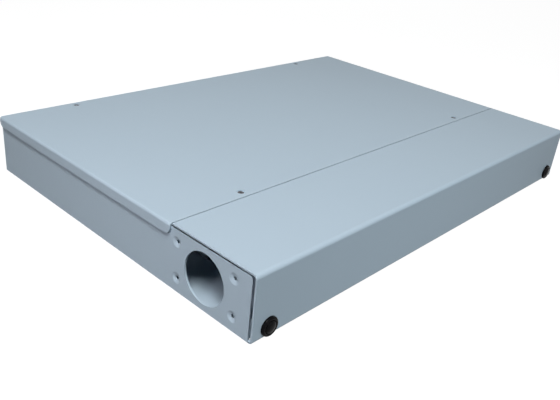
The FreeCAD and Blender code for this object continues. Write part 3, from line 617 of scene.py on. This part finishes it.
# Each latch has a glossy black nylon grommet: a domed ring in front, and a sleeve behind it
# that is split into four legs and snaps through the cover and the tray's flange.
inwards = (0.0, 1.0, 0.0)
leg_slit = (0.0008, 0.0073, 0.014)
leg_middle = 0.0077
ring_profile = [(0.0105, 0.0018), (0.0105, 0.0027), (0.0097, 0.0035), (0.0, 0.0035),
                (0.0, 0.00625)]
for step in range(7):
    angle = math.radians(90.0 * step / 6)
    ring_profile.append((-0.0007 - 0.0012 * math.sin(angle), 0.00495 + 0.0013 * math.cos(angle)))
ring_profile += [(-0.00185, 0.00455), (-0.0016, 0.0043), (-0.0004, 0.0043), (-0.0004, 0.0018),
                 (0.0105, 0.0018)]
for word, (x, z) in zip(("left", "right"), latch_spots):
    grommet = turned_piece("latch_ring_" + word, (x, face_y, z), inwards, ring_profile, 64)
    joined_rims(grommet)
    for turn in (0.0, math.pi / 2):
        bpy.ops.mesh.primitive_cube_add(size=1.0, location=(x, face_y + leg_middle, z),
                                        scale=leg_slit, rotation=(0.0, turn, 0.0))
        cut_out(grommet, named("leg_saw"))
    broken_edges(grommet, 0.0)
    fit_to(grommet, "latch_grommet_" + word, black_nylon)

# The plunger in it is moulded in the same nylon. It has a domed button head and a round pin that
# spreads the legs when it is pushed home.
button_profile = [(0.0120, 0.0009), (0.01115, 0.00175), (-0.0007, 0.00175), (-0.0007, 0.0037),
                  (-0.0009, 0.0039), (-0.0017, 0.0039)]
for step in range(1, 9):
    angle = math.radians(88.0 * step / 8)
    button_profile.append((-0.0017 - 0.0010 * math.sin(angle), 0.0039 * math.cos(angle)))
for word, (x, z) in zip(("left", "right"), latch_spots):
    plunger = turned_piece("latch_button_" + word, (x, face_y, z), inwards, button_profile, 64)
    closed_ends(plunger)
    broken_edges(plunger, 0.0)
    fit_to(plunger, "latch_plunger_" + word, black_nylon)

# The top cover is one folded sheet of the same steel. Its lips hang outside the side walls, and
# it is held by four small flat head screws that sit in countersunk holes.
low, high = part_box("top_cover")
bpy.ops.object.select_all(action="DESELECT")
bpy.ops.mesh.primitive_plane_add(size=1.0, location=((low.x + high.x) / 2, (low.y + high.y) / 2,
                                                     high.z))
top_sheet = named("folded_top_cover")
top_sheet.scale = (high.x - low.x, high.y - low.y, 1.0)
bpy.ops.object.transform_apply(location=True, rotation=True, scale=True)
lip_drop = high.z - low.z
lip_bend = 0.002
lip_corner = 0.005
bpy.ops.object.mode_set(mode="EDIT")
for side in (-1, 1):
    choose(top_sheet, "EDGE", lambda e: all(v.co.x * side > high.x - nearly for v in e.verts)
           and e.verts[0].co.z > high.z - nearly)
    bpy.ops.mesh.extrude_region_move(TRANSFORM_OT_translate={"value": (0.0, 0.0, -lip_drop)})
choose(top_sheet, "EDGE", lambda e: all(
    abs(v.co.x) > high.x - nearly and v.co.z > high.z - nearly for v in e.verts))
bpy.ops.mesh.bevel(offset=lip_bend, segments=6)
choose(top_sheet, "VERT", lambda v: v.co.z < low.z + nearly)
bpy.ops.mesh.bevel(offset=lip_corner, segments=8, affect="VERTICES")
bpy.ops.object.mode_set(mode="OBJECT")
skin = top_sheet.modifiers.new("skin", "SOLIDIFY")
skin.thickness = sheet
skin.offset = -1.0
bpy.ops.object.modifier_apply(modifier="skin")
screw_spots = [(x, y) for x in (-0.131, 0.131) for y in (-0.06095, 0.13285)]
screw_hole = 0.0015
sink_root, sink_mouth, sink_depth, sink_drop = 0.0014, 0.0028, 0.0008, 0.0009
counterbore, counterbore_depth = 0.0027, 0.0006
for x, y in screw_spots:
    bpy.ops.mesh.primitive_cylinder_add(vertices=48, radius=screw_hole, depth=5 * sheet,
                                        location=(x, y, high.z))
    cut_out(top_sheet, named("screw_drill"))
    bpy.ops.mesh.primitive_cone_add(vertices=48, radius1=sink_root, radius2=sink_mouth,
                                    depth=sink_depth, location=(x, y, high.z - sink_drop))
    cut_out(top_sheet, named("countersink"))
    bpy.ops.mesh.primitive_cylinder_add(vertices=48, radius=counterbore,
                                        depth=2 * counterbore_depth, location=(x, y, high.z))
    cut_out(top_sheet, named("counterbore"))
broken_edges(top_sheet, 0.00012)
fit_to(top_sheet, "top_cover", powder_coat)

# The cover screws are M3 flat head screws of blackened steel with a cross recess. One is turned
# and copied to the other three places. Zinc plated clinch nuts under the flanges take them.
head_drop = 0.0003
head_top = high.z - head_drop
flat_recess = (0.0026, 0.0006, 0.0010)
first_x, first_y = screw_spots[0]
screw = turned_piece("cover_screw", (first_x, first_y, head_top), upright,
                     [(-0.0069, 0.0011), (-0.0066, 0.00145), (-0.0007, 0.00145),
                      (-0.00015, 0.0021), (0.0, 0.0019)], 48)
closed_ends(screw)
for turn in (0.0, math.pi / 2):
    bpy.ops.mesh.primitive_cube_add(size=1.0, location=(first_x, first_y, head_top),
                                    scale=flat_recess, rotation=(0.0, 0.0, turn))
    cut_out(screw, named("cross_punch"))
broken_edges(screw, 0.00006, 1)
screws = [screw]
for x, y in screw_spots[1:]:
    screws.append(copied(screw, "cover_screw", (x - first_x, y - first_y, 0.0)))
blackened = surface_finish(
    "blackened_screw_steel", shade=(0.10, 0.10, 0.11), other_shade=(0.14, 0.14, 0.15),
    patch_scale=350.0, rough=0.42, rough_swing=0.06, grain_scale=1600.0, grain=0.000004,
    constants=[("Metallic", 1.0)])
fit_to(one_piece(screws, "flat_head_screws"), "top_cover_screws", blackened)
softened("cover_nuts", zinc, 0.0002)

# The dressed part's box is measured at the end, as the solids' box was at the start.
low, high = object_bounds()
